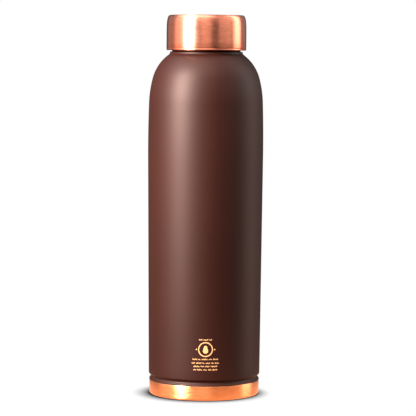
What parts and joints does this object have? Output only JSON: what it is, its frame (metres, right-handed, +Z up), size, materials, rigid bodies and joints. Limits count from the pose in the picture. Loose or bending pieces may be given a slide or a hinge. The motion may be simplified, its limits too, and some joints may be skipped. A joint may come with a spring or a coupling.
{
  "type": "copper water bottle",
  "caption": "Tall lacquered copper drinking bottle with a bare copper screw cap and base band; the cap unscrews and lifts off the threaded neck.",
  "frame": {"origin": "centre of the foot ring, on the surface the bottle stands on", "axes": "+Z up along the bottle's axis, -Y towards the front, where the printed mark is"},
  "size_m": [0.077, 0.077, 0.2534],
  "materials": {
    "copper_body": "drawn copper, softly polished and slightly toned, seen inside the bottle",
    "brown_lacquer": "satin dark brown lacquer with a very fine orange-peel texture",
    "copper_base": "bright copper, brushed round the circumference",
    "copper_cap": "bright copper, finely brushed round the circumference",
    "copper_thread": "turned copper with fine tool marks",
    "mark_print": "thin satin copper-gold print",
    "silicone": "matte translucent white silicone"
  },
  "bodies": {
    "bottle": {"body_shell": "copper_body", "lacquer_coat": "brown_lacquer", "base_cup": "copper_base", "neck_ring": "copper_thread", "front_mark": "mark_print"},
    "seal": {"seal_washer": "silicone"},
    "cap": {"cap_shell": "copper_cap", "cap_thread_insert": "copper_thread"}
  },
  "joints": [
    {"name": "cap_lift", "type": "slide", "parent": "bottle", "child": "seal", "axis": [0, 0, 1], "range_m": [0, 0.022]},
    {"name": "cap_turn", "type": "hinge", "parent": "seal", "child": "cap", "pos_m": [0, 0, 0.24], "axis": [0, 0, 1], "range_deg": [0, 1980]}
  ],
  "couplings": [
    {"joint": "cap_lift", "follows": "cap_turn", "m_per_rad": 0.00063662}
  ]
}
